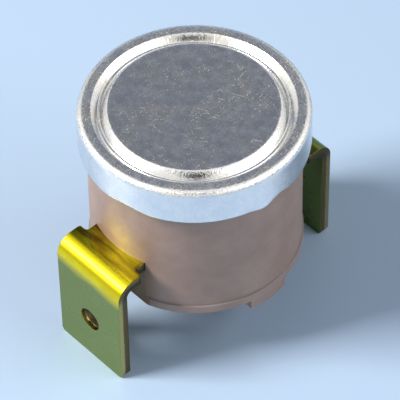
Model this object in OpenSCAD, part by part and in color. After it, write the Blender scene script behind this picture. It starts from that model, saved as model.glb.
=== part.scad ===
// Disc thermostat with a drawn sensing cap, a moulded body and two bent blade terminals.
// Lengths are in millimetres. +Z runs from the tips of the blades up to the sensing face, +X runs along
// the terminals, and the origin lies on the axis, in the plane of the blade tips.

/* [Heights] */
// Height of the terminals' upper face above the blade tips
tab_drop = 9.45; // [8.8:0.05:11]
// Depth of the body below the terminals' upper face
body_under = 4.35; // [3.9:0.05:5.5]
// Height of the body wall between the terminals and the cap
body_over = 5.5; // [5.4:0.05:7.5]
// Height of the cap, from its rolled-in edge to its sensing face
cap_h = 3.05; // [2.7:0.05:3.4]

/* [Cap] */
// Outside diameter of the cap
cap_d = 16.0; // [15.9:0.05:16.6]
// Thickness of the drawn sheet
cap_t = 0.35; // [0.3:0.01:0.4]
// Outside radius of the cap's upper edge
cap_edge_r = 0.5; // [0.45:0.05:0.6]
// Outside radius of the edge that is rolled in under the flange
lip_edge_r = 0.3; // [0.2:0.05:0.34]
// Width of the lip that is rolled in
lip_w = 0.54; // [0.5:0.01:0.58]
// How far the sensing face stands above the rim
face_rise = 0.05; // [0.02:0.01:0.1]
// Depth of the ring groove below the sensing face
groove_depth = 0.49; // [0.42:0.01:0.55]
// Slope of the groove's walls, in degrees
groove_slope = 42; // [35:0.5:45]
// Radius of the groove's two upper edges
groove_edge_r = 0.25; // [0.1:0.05:0.3]
// Radius in the bottom of the groove
groove_crease_r = 0.06; // [0.04:0.01:0.12]
// How far the bottom of the groove lies outside the edge of the snap disc
groove_over = 0.12; // [0.05:0.01:0.18]

/* [Snap disc] */
// Width of the cap outside the edge of the disc
rim_w = 1.65; // [1.6:0.01:1.7]
// Thickness of the bimetal
disc_t = 0.2; // [0.16:0.01:0.25]
// Height of the disc's dome
disc_dish = 0.3; // [0.26:0.01:0.35]
// Play of the disc's edge between the cap and its seat
disc_play = 0.04; // [0.02:0.01:0.06]
// Radial clearance around the disc's edge
disc_side_gap = 0.07; // [0.04:0.01:0.1]

/* [Guide plate] */
// Width of the ring on which the disc's edge rests
seat_w = 0.4; // [0.3:0.05:0.6]
// Room under the disc once it has snapped through
disc_room = 0.28; // [0.2:0.02:0.4]
// Thickness of the plate between the disc and the contacts
guide_web_t = 1.15; // [1:0.05:1.4]
// Diameter of the boss that guides the pin
guide_boss_d = 3.6; // [3.2:0.1:4.2]
// Gap between the boss and the fixed contact
boss_gap = 0.25; // [0.2:0.05:0.4]
// Gap between the guide plate and the walls that hold it
guide_fit = 0.05; // [0.03:0.01:0.08]

/* [Push pin] */
// Diameter of the ceramic pin
pin_d = 1.5; // [1.4:0.05:1.6]
// Radial running clearance of the pin
pin_run = 0.05; // [0.03:0.01:0.08]
// Radius of the pin's rounded ends
pin_end_r = 1.4; // [1.1:0.1:2.4]
// Travel of the pin when the disc snaps
pin_travel = 0.4; // [0.3:0.02:0.45]

/* [Body] */
// How far the wall widens from the cap down to the foot band
wall_flare = 0.05; // [0.01:0.01:0.09]
// How far the foot band stands out from the wall
band_step = 0.12; // [0.06:0.01:0.2]
// Height of the foot band
band_h = 0.79; // [0.6:0.05:1.2]
// Radius of the foot band's lower edge
band_edge_r = 0.2; // [0.1:0.05:0.3]
// Thickness of the flange that the cap grips
flange_t = 0.7; // [0.6:0.05:0.9]
// Gap between the flange and the cap's wall
flange_fit = 0.05; // [0.03:0.01:0.08]
// Gap between the rolled-in lip and the wall
lip_gap = 0.05; // [0.03:0.01:0.1]
// Thickness of the wall around the contact chamber
wall_t = 1.21; // [1.15:0.01:1.3]
// Thickness of the web between the terminals and the contacts
web_t = 1.4; // [1.2:0.05:1.7]
// Wall left around the pockets in the underside
pocket_wall = 0.8; // [0.6:0.05:0.9]
// Thickness of the barrier between the terminals
barrier_w = 3.2; // [2.8:0.1:3.6]
// How far the barrier stands below the body
barrier_drop = 0.97; // [0.6:0.05:1.6]
// How far the barrier's round ends stay inside the foot band
barrier_inset = 0.08; // [0.02:0.01:0.2]
// Radius of the barrier's lower edges
barrier_edge_r = 0.25; // [0.1:0.05:0.4]
// Height of the ribs that keep the riveted feet from turning
key_h = 0.6; // [0.4:0.05:0.9]
// Thickness of these ribs
key_t = 0.5; // [0.4:0.05:0.7]
// Gap between a riveted foot and the walls around it
foot_gap = 0.2; // [0.16:0.01:0.24]

/* [Terminals] */
// Width of a blade
tab_w = 6.3; // [6.2:0.05:6.4]
// Thickness of a blade
tab_t = 0.8; // [0.75:0.01:0.85]
// Inside radius of the bend
tab_bend_r = 0.5; // [0.3:0.05:0.7]
// Radius of the blade's lower corners
tab_corner_r = 0.35; // [0.2:0.05:0.8]
// Diameter of the locking hole
tab_hole_d = 1.8; // [1.6:0.05:2]
// Height of the locking hole above the blade's tip
tab_hole_up = 3.8; // [3.2:0.1:4.5]
// Width of the neck that enters the body
neck_w = 4.9; // [4.6:0.05:5]
// Length of the neck outside the body
neck_out = 0.92; // [0.7:0.02:1.2]
// Length of the shoulders between the neck and the bend
shoulder_w = 0.85; // [0.6:0.05:1.2]
// Length of the tongue beyond the rivet
tongue_end = 1.5; // [1.3:0.05:1.8]
// Radius of the tongue's corners
tongue_corner_r = 1.2; // [0.5:0.1:1.5]
// Gap around the neck in its slot
slot_gap = 0.05; // [0.03:0.01:0.1]

/* [Rivets] */
// Distance from a rivet's axis to the wall of the contact chamber
rivet_inset = 1.2; // [1.15:0.01:1.25]
// Diameter of the shank
rivet_d = 1.3; // [1.2:0.05:1.4]
// Radial gap between a shank and its holes
rivet_fit = 0.02; // [0.01:0.01:0.05]
// Diameter of the head over the contact parts
head_d = 1.8; // [1.7:0.05:1.85]
// Height of that head
head_h = 0.45; // [0.35:0.05:0.55]
// Diameter of the rolled-over end below the terminal
roll_d = 2.1; // [1.9:0.05:2.2]
// Height of the rolled-over end
roll_h = 0.5; // [0.4:0.05:0.6]
// Diameter of the hollow in the rolled-over end
hollow_d = 0.8; // [0.6:0.05:0.85]
// Depth of the hollow
hollow_h = 1.2; // [0.9:0.1:1.5]

/* [Contacts] */
// Thickness of the contact arm's spring leaf
arm_t = 0.2; // [0.15:0.01:0.22]
// Width of the arm at its riveted foot
arm_w = 3.2; // [2.8:0.1:3.4]
// Width of the arm at its contact
arm_tip_w = 1.8; // [1.6:0.05:1.9]
// Height of the raised arm above the chamber's floor
arm_rise = 1.45; // [1.3:0.05:1.7]
// Distance from the rivet to the arm's lower bend
arm_foot = 1.3; // [1.2:0.05:1.5]
// Distance between the arm's two bends, along the base
arm_run = 1.6; // [1.4:0.05:1.8]
// Inside radius of the bends in the arm
arm_bend_r = 0.3; // [0.2:0.05:0.4]
// Diameter of the contacts' heads
contact_d = 1.4; // [1.3:0.05:1.5]
// Height of the contacts' heads
contact_h = 0.5; // [0.4:0.05:0.55]
// Diameter of the contacts' shanks
contact_shank_d = 0.9; // [0.7:0.05:1]
// Diameter of the contacts' closed ends
contact_upset_d = 1.25; // [1.15:0.05:1.35]
// Height of the contacts' closed ends
contact_upset_h = 0.15; // [0.1:0.01:0.2]
// Gap between the closed contacts, and between the arm and the pin
touch_gap = 0.02; // [0.01:0.01:0.04]
// Thickness of the fixed contact's plate
plate_t = 0.3; // [0.25:0.01:0.35]
// Width of the fixed contact's plate
plate_w = 3.0; // [2.6:0.1:3.2]
// Inside radius of the bends in this plate
plate_bend_r = 0.15; // [0.1:0.05:0.3]
// Gap between the upright of this plate and the open arm
plate_gap = 0.1; // [0.06:0.01:0.14]
// Gap between this plate's lower bend and the head of its rivet
head_gap = 0.03; // [0.02:0.01:0.05]
// Metal left beside the fixed contact at the plate's end
plate_margin = 0.15; // [0.1:0.01:0.2]

/* [Hidden] */

// Facets of a circle on screen, and steps in each rounded corner
$fn = 96;
corner_steps = 6;
// A cut reaches this far past the face that it opens
past = 1;

// Levels of the body and the cap
z_under = tab_drop - tab_t;
z_bottom = tab_drop - body_under;
z_band = z_bottom + band_h;
z_floor = tab_drop + web_t;
z_cap_low = tab_drop + body_over;
z_flange_low = z_cap_low + cap_t;
z_flange_top = z_flange_low + flange_t;
z_face = z_cap_low + cap_h;
z_rim = z_face - face_rise;
z_rim_in = z_rim - cap_t;

// Radii of the body and the cap
cap_r = cap_d / 2;
cap_in_r = cap_r - cap_t;
lip_in_r = cap_r - lip_w;
wall_top_r = lip_in_r - lip_gap;
wall_low_r = wall_top_r + wall_flare;
band_r = wall_low_r + band_step;
flange_r = cap_in_r - flange_fit;
chamber_r = wall_top_r - wall_t;
foot_r = chamber_r - foot_gap;
pocket_r = wall_low_r - pocket_wall;

// The groove in the cap. Inside, it is a ridge that presses on the edge of the snap disc.
disc_r = cap_r - rim_w;
crease_r = disc_r + groove_over;
crease_drop = groove_depth + groove_crease_r * (1 / cos(groove_slope) - 1);
groove_in_r = crease_r - crease_drop / tan(groove_slope);
groove_out_r = crease_r + (crease_drop - face_rise) / tan(groove_slope);
bend_shift = cap_t * tan(groove_slope / 2);
z_ridge = z_face - groove_depth - cap_t;

// The snap disc between the ridge and its seat, and the recess that it snaps into
z_seat = z_ridge - disc_play - disc_t;
z_disc = z_seat + disc_play / 2;
seat_out_r = disc_r + disc_side_gap;
seat_in_r = disc_r - seat_w;
z_recess = z_seat - disc_dish - disc_room;
z_guide_low = z_recess - guide_web_t;

// Levels of the contacts
z_arm = z_floor + arm_rise;
z_arm_top = z_arm + arm_t;
z_touch = z_arm_top + contact_h;
z_plate = z_touch + touch_gap + contact_h;
z_plate_top = z_plate + plate_t;
z_boss = z_plate_top + contact_upset_h + boss_gap;
contact_r = contact_d / 2;
arm_tip_r = arm_tip_w / 2;

// The pin stands just clear of the arm, and ends below the disc by the part of the snap that moves nothing
pin_r = pin_d / 2;
pin_slack = 2 * disc_dish - pin_travel;
z_pin_low = z_arm_top + touch_gap;
z_pin_top = z_disc + disc_dish - pin_slack;

// The rivets stand inside the chamber's wall, and the arm turns about its lower bend beside its rivet
rivet_x = chamber_r - rivet_inset;
rivet_hole_r = rivet_d / 2 + rivet_fit;
arm_bend_x = rivet_x - arm_foot;
arm_top_x = arm_bend_x - arm_run;

// The arm's raised tip swings outwards as it opens, and the plate's upright stands between it and the
// head of the rivet
arm_swing = (arm_rise + arm_t) * pin_travel / arm_bend_x;
plate_leg_x = rivet_x - head_d / 2 - head_gap - plate_bend_r - plate_t;
contact_x = plate_leg_x - plate_gap - arm_swing - arm_tip_r;

// Each neck leaves the body through a flat that is as wide as its slot
slot_w = neck_w + 2 * slot_gap;
flat_x = sqrt(wall_low_r ^ 2 - (slot_w / 2) ^ 2);
shoulder_x = flat_x + neck_out;
bend_x = shoulder_x + shoulder_w;
tongue_x = rivet_x - tongue_end;
z_bend = tab_drop - tab_t - tab_bend_r;

// The corner b between a and c, rounded to radius r
function rounded_corner(a, b, c, r) =
    r <= 0
    ? [b]
    : let (
        u = (a - b) / norm(a - b),
        v = (c - b) / norm(c - b),
        half = acos(u * v) / 2,
        centre = b + (u + v) / norm(u + v) * r / sin(half),
        start = b + u * r / tan(half) - centre,
        end = b + v * r / tan(half) - centre,
        first = atan2(start[1], start[0]),
        turn = atan2(start[0] * end[1] - start[1] * end[0], start * end)
    )
    [
        for (i = [0 : corner_steps])
            let (angle = first + turn * i / corner_steps)
            centre + r * [cos(angle), sin(angle)]
    ];

// A closed outline from a list of corners, each written as [x, y, radius]
function outline(corners) =
    let (n = len(corners), points = [for (c = corners) [c[0], c[1]]])
    [
        for (i = [0 : n - 1])
            each rounded_corner(points[(i + n - 1) % n], points[i], points[(i + 1) % n], corners[i][2])
    ];

// One side of a bent strip: the path's corners moved sideways by d, with the bends' radii on that side
function strip_side(path, d, r) =
    let (n = len(path))
    [
        for (i = [0 : n - 1])
            let (
                before = i > 0 ? path[i] - path[i - 1] : path[1] - path[0],
                after = i < n - 1 ? path[i + 1] - path[i] : path[n - 1] - path[n - 2],
                u = before / norm(before),
                v = after / norm(after),
                turn = u[0] * v[1] - u[1] * v[0],
                side = [-u[1] - v[1], u[0] + v[0]],
                moved = path[i] + side * d / (1 + u * v)
            )
            [moved[0], moved[1], abs(turn) < 0.001 ? 0 : r + (turn * d > 0 ? 0 : 2 * abs(d))]
    ];

// The section of a strip of thickness t along a path, bent with inside radius r
function strip(path, t, r) =
    let (left = strip_side(path, t / 2, r), right = strip_side(path, -t / 2, r), n = len(path))
    outline(concat(left, [for (i = [n - 1 : -1 : 0]) right[i]]));

// A solid turned about the axis from the corners of its half section
module turned(corners) {
    rotate_extrude()
    polygon(outline(corners));
}

// A strip whose section lies in the XZ plane, w wide along Y
module pressed_strip(path, t, r, w) {
    rotate([90, 0, 0])
    linear_extrude(w, center = true)
    polygon(strip(path, t, r));
}

// A round hole or post at x, from z0 up to z1
module post(x, r, z0, z1) {
    translate([x, 0, z0])
    cylinder(h = z1 - z0, r = r);
}

// Sensing cap: one drawn sheet with a ring groove, rolled in under the body's flange
module cap() {
    color([0.76, 0.77, 0.79])
    turned([
        [0, z_face, 0],
        [groove_in_r, z_face, groove_edge_r],
        [crease_r, z_face - crease_drop, groove_crease_r],
        [groove_out_r, z_rim, groove_edge_r],
        [cap_r, z_rim, cap_edge_r],
        [cap_r, z_cap_low, lip_edge_r],
        [lip_in_r, z_cap_low, 0],
        [lip_in_r, z_flange_low, 0],
        [cap_in_r, z_flange_low, 0],
        [cap_in_r, z_rim_in, cap_edge_r - cap_t],
        [groove_out_r + bend_shift, z_rim_in, 0],
        [crease_r, z_face - crease_drop - cap_t / cos(groove_slope), groove_crease_r + cap_t],
        [groove_in_r - bend_shift, z_face - cap_t, 0],
        [0, z_face - cap_t, 0],
    ]);
}

// Snap disc, domed towards the cap while it is cool
module bimetal_disc() {
    ball_r = (disc_r ^ 2 + disc_dish ^ 2) / (2 * disc_dish);
    rings = 10;
    upper = [
        for (i = [0 : rings])
            let (r = disc_r * i / rings)
            [r, z_disc + disc_t + sqrt(ball_r ^ 2 - r ^ 2) - ball_r + disc_dish]
    ];
    lower = [for (i = [rings : -1 : 0]) upper[i] - [0, disc_t]];
    color([0.62, 0.6, 0.56])
    rotate_extrude()
    polygon(concat(upper, lower));
}

// Guide plate: carries the disc's edge, closes the contact chamber and guides the pin
module guide_plate() {
    rim_corner_r = cap_edge_r - cap_t + guide_fit;
    rim_in_r = groove_out_r + bend_shift + guide_fit;
    z_locate = z_ridge - 0.5 * disc_t;
    locate_w = 0.5 * (rim_in_r - seat_out_r);
    color([0.33, 0.2, 0.14])
    turned([
        [pin_r + pin_run, z_boss, 0],
        [guide_boss_d / 2, z_boss, 0.2],
        [guide_boss_d / 2, z_guide_low, 0.3],
        [chamber_r - guide_fit, z_guide_low, 0.2],
        [chamber_r - guide_fit, z_flange_top, 0],
        [cap_in_r - guide_fit, z_flange_top, 0],
        [cap_in_r - guide_fit, z_rim_in, rim_corner_r],
        [rim_in_r, z_rim_in, 0],
        [seat_out_r + locate_w, z_locate, 0],
        [seat_out_r, z_locate, 0],
        [seat_out_r, z_seat, 0],
        [seat_in_r, z_seat, 0.08],
        [seat_in_r, z_recess, 0.2],
        [pin_r + pin_run, z_recess, 0],
    ]);
}

// Push pin: a ceramic rod with rounded ends
module push_pin() {
    slope = asin(pin_r / pin_end_r);
    steps = 8;
    lower = [
        for (i = [0 : steps])
            let (angle = slope * i / steps)
            [pin_end_r * sin(angle), z_pin_low + pin_end_r * (1 - cos(angle))]
    ];
    upper = [
        for (i = [steps : -1 : 0])
            let (angle = slope * i / steps)
            [pin_end_r * sin(angle), z_pin_top - pin_end_r * (1 - cos(angle))]
    ];
    color([0.93, 0.92, 0.88])
    rotate_extrude()
    polygon(concat(lower, upper));
}

// The moulded body's outer form with its contact chamber, before the cuts in its underside
module body_shell() {
    turned([
        [0, z_bottom, 0],
        [band_r, z_bottom, band_edge_r],
        [band_r, z_band, 0.04],
        [wall_low_r, z_band, 0.03],
        [wall_top_r, z_flange_low, 0],
        [flange_r, z_flange_low, 0],
        [flange_r, z_flange_top, 0],
        [chamber_r, z_flange_top, 0],
        [chamber_r, z_floor, 0.15],
        [0, z_floor, 0],
    ]);
}

// Barrier across the underside, with round ends and rounded lower edges
module barrier() {
    z_low = z_bottom - barrier_drop;
    intersection() {
        turned([
            [0, z_low, 0],
            [band_r - barrier_inset, z_low, barrier_edge_r],
            [band_r - barrier_inset, z_band, 0],
            [0, z_band, 0],
        ]);
        rotate([90, 0, 0])
        linear_extrude(cap_d, center = true)
        polygon(outline([
            [-barrier_w / 2, z_low, barrier_edge_r],
            [barrier_w / 2, z_low, barrier_edge_r],
            [barrier_w / 2, z_band, 0],
            [-barrier_w / 2, z_band, 0],
        ]));
    }
}

// Cuts for one terminal: the flat on the wall, the pocket below the rivet, the slot and the rivet's hole
module terminal_cuts() {
    pocket_x = flat_x - pocket_wall;
    translate([flat_x, -cap_r, z_bottom - past])
    cube([cap_r, cap_d, body_under + past]);
    intersection() {
        translate([0, 0, z_bottom - past])
        cylinder(h = body_under + past, r = pocket_r);
        translate([barrier_w / 2, -cap_r, z_bottom - past])
        cube([pocket_x - barrier_w / 2, cap_d, body_under + past]);
    }
    translate([pocket_x - past, -slot_w / 2, z_under - slot_gap])
    cube([pocket_wall + 2 * past, slot_w, tab_t + slot_gap]);
    post(rivet_x, rivet_hole_r, tab_drop - past, z_floor + past);
}

// Two ribs on the chamber's floor, one on each side of a riveted foot of width w
module key_ribs(w) {
    intersection() {
        post(0, chamber_r + key_t, z_floor - key_h, z_floor + key_h);
        for (y = [w / 2 + foot_gap, -w / 2 - foot_gap - key_t])
            translate([arm_bend_x, y, z_floor - key_h])
            cube([cap_r, key_t, 2 * key_h]);
    }
}

// Moulded body: wall, flange, contact chamber, web, underside pockets and barrier in one piece
module base_body() {
    color([0.66, 0.57, 0.53]) {
        difference() {
            body_shell();
            terminal_cuts();
            mirror([1, 0, 0])
            terminal_cuts();
        }
        barrier();
        key_ribs(plate_w);
        mirror([1, 0, 0])
        key_ribs(arm_w);
    }
}

// Section of a terminal in the XZ plane: the flat part, the bend and the blade
module terminal_section() {
    translate([0, z_under])
    square([bend_x, tab_t]);
    translate([bend_x, z_bend])
    intersection() {
        difference() {
            circle(r = tab_bend_r + tab_t);
            circle(r = tab_bend_r);
        }
        square(tab_bend_r + tab_t);
    }
    translate([bend_x + tab_bend_r, -past])
    square([tab_t, z_bend + past]);
}

// A blade terminal on the +X side: tongue, neck, shoulders, bend and blade from one strip
module terminal() {
    end_x = bend_x + tab_bend_r + tab_t;
    difference() {
        intersection() {
            rotate([90, 0, 0])
            linear_extrude(2 * tab_w, center = true)
            terminal_section();
            translate([0, 0, -past])
            linear_extrude(tab_drop + 2 * past)
            polygon(outline([
                [tongue_x, -neck_w / 2, tongue_corner_r],
                [shoulder_x, -neck_w / 2, 0.25],
                [shoulder_x, -tab_w / 2, 0.15],
                [end_x + past, -tab_w / 2, 0],
                [end_x + past, tab_w / 2, 0],
                [shoulder_x, tab_w / 2, 0.15],
                [shoulder_x, neck_w / 2, 0.25],
                [tongue_x, neck_w / 2, tongue_corner_r],
            ]));
            rotate([90, 0, 90])
            linear_extrude(end_x + 2 * past)
            polygon(outline([
                [-tab_w / 2, 0, tab_corner_r],
                [tab_w / 2, 0, tab_corner_r],
                [tab_w / 2, tab_drop + past, 0],
                [-tab_w / 2, tab_drop + past, 0],
            ]));
        }
        post(rivet_x, rivet_hole_r, z_under - past, tab_drop + past);
        translate([bend_x, 0, tab_hole_up])
        rotate([0, 90, 0])
        cylinder(h = tab_bend_r + tab_t + past, d = tab_hole_d);
    }
}

module terminal_left() {
    color([0.78, 0.66, 0.27])
    mirror([1, 0, 0])
    terminal();
}

module terminal_right() {
    color([0.78, 0.66, 0.27])
    terminal();
}

// Semi-tubular rivet at x, whose head sits on a part of thickness t on the chamber's floor
module rivet(x, t) {
    z_head = z_floor + t;
    color([0.8, 0.69, 0.33])
    translate([x, 0, 0])
    turned([
        [0, z_head + head_h, 0],
        [head_d / 2, z_head + head_h, 0.3],
        [head_d / 2, z_head, 0],
        [rivet_d / 2, z_head, 0],
        [rivet_d / 2, z_under, 0],
        [roll_d / 2, z_under, 0],
        [roll_d / 2, z_under - roll_h, 0.35],
        [hollow_d / 2, z_under - roll_h, 0.15],
        [hollow_d / 2, z_under - roll_h + hollow_h, 0.1],
        [0, z_under - roll_h + hollow_h, 0],
    ]);
}

module rivet_left() {
    rivet(-rivet_x, arm_t);
}

module rivet_right() {
    rivet(rivet_x, plate_t);
}

// Contact arm: a spring leaf with a riveted foot, a slope and a raised arm under the pin
module contact_arm() {
    tip_x = contact_x + arm_tip_r;
    color([0.8, 0.6, 0.32])
    difference() {
        intersection() {
            pressed_strip(
                [
                    [-chamber_r, z_floor + arm_t / 2],
                    [-arm_bend_x, z_floor + arm_t / 2],
                    [-arm_top_x, z_arm + arm_t / 2],
                    [tip_x, z_arm + arm_t / 2],
                ],
                arm_t, arm_bend_r, 2 * arm_w
            );
            translate([0, 0, z_floor - past])
            linear_extrude(2 * arm_rise + 2 * past) {
                polygon([
                    [-chamber_r, -arm_w / 2],
                    [-arm_bend_x, -arm_w / 2],
                    [-arm_top_x, -arm_tip_r],
                    [contact_x, -arm_tip_r],
                    [contact_x, arm_tip_r],
                    [-arm_top_x, arm_tip_r],
                    [-arm_bend_x, arm_w / 2],
                    [-chamber_r, arm_w / 2],
                ]);
                translate([contact_x, 0])
                circle(r = arm_tip_r);
            }
            post(0, foot_r, z_floor - past, z_plate);
        }
        post(-rivet_x, rivet_hole_r, z_floor - past, z_floor + past);
        post(contact_x, contact_shank_d / 2 + rivet_fit, z_arm - past, z_arm_top + past);
    }
}

// A contact rivet along the axis, whose head rests on z = 0 and whose shank passes a part of thickness t
module contact_rivet(t) {
    color([0.84, 0.84, 0.82])
    turned([
        [0, contact_h, 0],
        [contact_r, contact_h, 0.15],
        [contact_r, 0, 0],
        [contact_shank_d / 2, 0, 0],
        [contact_shank_d / 2, -t, 0],
        [contact_upset_d / 2, -t, 0],
        [contact_upset_d / 2, -t - contact_upset_h, 0.06],
        [0, -t - contact_upset_h, 0],
    ]);
}

module moving_contact() {
    translate([contact_x, 0, z_arm_top])
    contact_rivet(arm_t);
}

module fixed_contact() {
    translate([contact_x, 0, z_plate])
    mirror([0, 0, 1])
    contact_rivet(plate_t);
}

// Plate of the fixed contact: a riveted foot, an upright and an arm that reaches over the moving contact
module fixed_contact_plate() {
    end_x = contact_x - contact_r - plate_margin;
    color([0.78, 0.66, 0.3])
    difference() {
        intersection() {
            pressed_strip(
                [
                    [chamber_r, z_floor + plate_t / 2],
                    [plate_leg_x + plate_t / 2, z_floor + plate_t / 2],
                    [plate_leg_x + plate_t / 2, z_plate + plate_t / 2],
                    [end_x, z_plate + plate_t / 2],
                ],
                plate_t, plate_bend_r, plate_w
            );
            post(0, foot_r, z_floor - past, z_plate_top + past);
        }
        post(rivet_x, rivet_hole_r, z_floor - past, z_floor + past);
        post(contact_x, contact_shank_d / 2 + rivet_fit, z_plate - past, z_plate_top + past);
    }
}

cap();
bimetal_disc();
guide_plate();
push_pin();
base_body();
terminal_left();
terminal_right();
rivet_left();
rivet_right();
contact_arm();
moving_contact();
fixed_contact_plate();
fixed_contact();
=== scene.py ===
"""Looks of a half-inch disc thermostat: drawn sensing cap, moulded body and two bent brass blades.

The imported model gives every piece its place. The cap and the terminals are built again here as fine
surfaces over their solids, and so are the two pieces that bend, the snap disc and the contact leaf. The
other pieces keep their solids and get their finish. Lengths are in metres, in the model's own frame: +Z
up along the cap's axis, the blade tips in the plane z = 0. Only the patterns' lengths are in millimetres.
"""
from __future__ import annotations

import logging
import math
from dataclasses import dataclass
from enum import Enum

import bmesh
import bpy
import numpy as np
from mathutils import Matrix, Vector


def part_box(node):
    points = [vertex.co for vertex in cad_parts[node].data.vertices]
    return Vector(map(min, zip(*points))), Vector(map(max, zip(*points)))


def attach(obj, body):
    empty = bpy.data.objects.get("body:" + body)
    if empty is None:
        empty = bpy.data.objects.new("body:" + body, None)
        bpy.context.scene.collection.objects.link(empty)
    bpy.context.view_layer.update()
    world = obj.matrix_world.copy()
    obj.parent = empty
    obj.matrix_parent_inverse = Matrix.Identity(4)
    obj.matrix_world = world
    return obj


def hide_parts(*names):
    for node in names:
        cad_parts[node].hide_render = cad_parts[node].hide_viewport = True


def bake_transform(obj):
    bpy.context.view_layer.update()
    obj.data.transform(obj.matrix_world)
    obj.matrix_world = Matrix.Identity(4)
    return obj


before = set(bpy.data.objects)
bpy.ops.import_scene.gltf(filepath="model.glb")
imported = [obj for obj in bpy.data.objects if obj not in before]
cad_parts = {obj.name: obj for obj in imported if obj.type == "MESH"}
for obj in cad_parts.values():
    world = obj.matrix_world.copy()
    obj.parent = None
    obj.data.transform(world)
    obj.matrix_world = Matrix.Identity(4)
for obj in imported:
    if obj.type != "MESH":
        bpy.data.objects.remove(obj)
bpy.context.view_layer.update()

log = logging.getLogger("thermostat")

MM = 0.001
BODY = "housing"
# Vertices this close to each other are one
WELD = 1e-7
# Edges that turn by more degrees than this look sharp
SHARP = 40.0
# Cut edges of sheet and strip that turn by more degrees than this are broken
CUT = 50.0

Colour = tuple[float, float, float, float]


def linear(code: str) -> Colour:
    """Turns an sRGB hex colour into linear light.

    Below 0.04045 the sRGB curve is a line of slope 1/12.92, and above it a power of 2.4.

    Args:
        code: the colour as "#RRGGBB".

    Returns:
        Red, green, blue and alpha, each from 0 to 1.
    """
    channels = [int(code[i:i + 2], 16) / 255 for i in (1, 3, 5)]
    red, green, blue = (
        c / 12.92 if c <= 0.04045 else ((c + 0.055) / 1.055) ** 2.4 for c in channels
    )
    return red, green, blue, 1.0


# Meshes


def rounded(corners: list[tuple[float, float, float]], steps: int = 10) -> np.ndarray:
    """Rounds the inner corners of an open outline.

    Each corner (x, y, r) is replaced by the arc of radius r that touches both of its sides. The arc's
    centre lies on the corner's bisector at r / sin(half its angle), and the arc runs from one side's
    foot to the other's.

    Args:
        corners: the outline's corners, each with its radius; the first and last stay sharp.
        steps: steps in each arc.

    Returns:
        The outline's points, one a row.
    """
    points = np.array([c[:2] for c in corners], float)
    parts = [points[:1]]
    for before, here, after, radius in zip(points, points[1:], points[2:], [c[2] for c in corners[1:]]):
        if radius <= 0:
            parts.append(here[None])
            continue
        u = (before - here) / np.linalg.norm(before - here)
        v = (after - here) / np.linalg.norm(after - here)
        half = math.acos(float(np.clip(u @ v, -1, 1))) / 2
        centre = here + (u + v) / np.linalg.norm(u + v) * radius / math.sin(half)
        start = here + u * radius / math.tan(half) - centre
        end = here + v * radius / math.tan(half) - centre
        first = math.atan2(start[1], start[0])
        turn = math.atan2(start[0] * end[1] - start[1] * end[0], start @ end)
        angle = first + turn * np.linspace(0, 1, steps + 1)
        parts.append(centre + radius * np.stack([np.cos(angle), np.sin(angle)], 1))
    parts.append(points[-1:])
    return np.concatenate(parts)


def refined(outline: np.ndarray, longest: float) -> np.ndarray:
    """Splits an outline's long sides, so that none is longer than `longest`.

    The outline is sampled again by its length: its own points are kept, and each side gets equal parts.

    Args:
        outline: points, one a row.
        longest: the longest side allowed.

    Returns:
        The outline with the added points.
    """
    sides = np.linalg.norm(np.diff(outline, axis=0), axis=1)
    at = np.concatenate([[0], np.cumsum(sides)])
    parts = np.maximum(1, np.ceil(sides / longest)).astype(int)
    wanted = np.concatenate(
        [np.linspace(a, b, n, endpoint=False) for a, b, n in zip(at, at[1:], parts)] + [at[-1:]]
    )
    return np.stack([np.interp(wanted, at, outline[:, i]) for i in range(outline.shape[1])], 1)


def grid_faces(rows: int, columns: int, closed: bool = False) -> np.ndarray:
    """Numbers the four corners of each cell in a grid of vertices.

    Args:
        rows: vertices along the first parameter.
        columns: vertices along the second parameter.
        closed: whether the last column joins the first.

    Returns:
        One row of four vertex numbers for each cell.
    """
    i = np.arange(rows - 1)[:, None]
    j = np.arange(columns if closed else columns - 1)[None, :]
    k = (j + 1) % columns
    corners = [i * columns + j, i * columns + k, (i + 1) * columns + k, (i + 1) * columns + j]
    return np.stack(np.broadcast_arrays(*corners), -1).reshape(-1, 4)


def mesh_object(
    name: str, vertices: np.ndarray, faces: np.ndarray, weld: float = WELD
) -> bpy.types.Object:
    """Puts arrays of vertices and faces into a new object at the origin.

    Doubles are merged first, which closes seams and poles, and the faces are turned outwards.

    Args:
        name: the object's name.
        vertices: one point a row.
        faces: vertex numbers, four a row.
        weld: distance within which vertices are merged.

    Returns:
        The new object, linked to the scene.
    """
    mesh = bpy.data.meshes.new(name)
    mesh.from_pydata(vertices.tolist(), [], faces.tolist())
    made = bpy.data.objects.new(name, mesh)
    bpy.context.scene.collection.objects.link(made)
    shell = bmesh.new()
    shell.from_mesh(mesh)
    bmesh.ops.remove_doubles(shell, verts=shell.verts, dist=weld)
    bmesh.ops.dissolve_degenerate(shell, edges=shell.edges, dist=weld)
    bmesh.ops.recalc_face_normals(shell, faces=shell.faces)
    shell.to_mesh(mesh)
    shell.free()
    return made


def smooth(piece: bpy.types.Object, angle: float = SHARP) -> None:
    """Shades a piece smoothly, apart from edges that turn by more than `angle` in degrees."""
    piece.data.shade_smooth()
    piece.data.set_sharp_from_angle(angle=math.radians(angle))


def thicken(piece: bpy.types.Object, sheet: float, edge_break: float) -> None:
    """Gives a middle surface the sheet's thickness, and breaks its edges.

    The rim gets the piece's last material and the broken edges its first.

    Args:
        piece: the mesh object.
        sheet: the thickness, half of it on each side.
        edge_break: width of the broken edges.
    """
    wall = piece.modifiers.new("thickness", "SOLIDIFY")
    wall.thickness = sheet
    wall.offset = 0.0
    wall.use_even_offset = True
    wall.material_offset_rim = len(piece.data.materials) - 1
    rounding = piece.modifiers.new("edge_break", "BEVEL")
    rounding.width = edge_break
    rounding.segments = 2
    rounding.limit_method = "ANGLE"
    rounding.angle_limit = math.radians(CUT)
    rounding.material = 0
    smooth(piece)


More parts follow.
